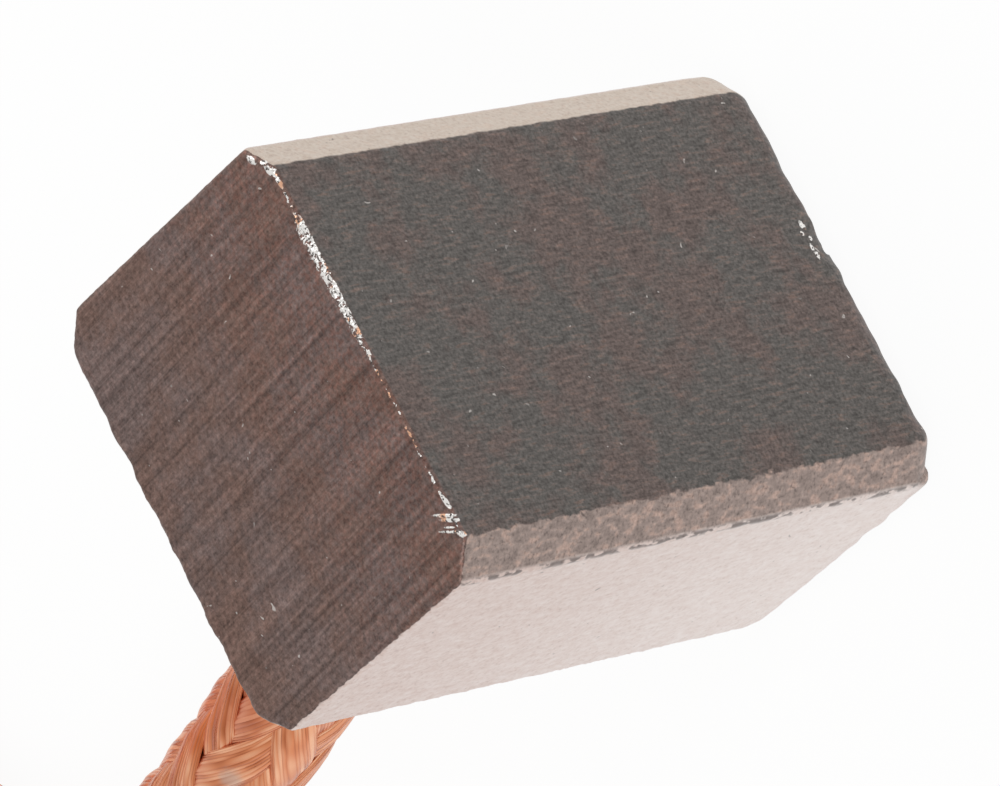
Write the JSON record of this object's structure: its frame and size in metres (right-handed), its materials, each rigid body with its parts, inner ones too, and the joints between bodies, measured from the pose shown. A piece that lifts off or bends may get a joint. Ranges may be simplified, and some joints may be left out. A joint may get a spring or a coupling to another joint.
{
  "type": "carbon brush",
  "caption": "Chamfered copper-graphite motor brush with a tamped copper braid pigtail that ends in a crimped ring terminal.",
  "frame": {"origin": "centre of the spring end of the carbon block, on the surface it stands on", "axes": "+Z along the brush from the spring end to the running face, +Y out of the back face where the pigtail leaves, +X along the motor shaft"},
  "size_m": [0.0481, 0.039, 0.0155],
  "materials": {
    "copper_graphite": "pressed and sintered copper graphite, ground matt with a faint metallic sheen",
    "copper_powder": "tamped copper powder, grainy and dull",
    "bare_copper": "bright bare copper wire braid",
    "tinned_brass": "stamped brass with a bright tin coat"
  },
  "bodies": {
    "root": {"carbon_block": "copper_graphite", "tamped_powder": "copper_powder", "pigtail_braid": "bare_copper", "ring_terminal": "tinned_brass"}
  },
  "joints": []
}
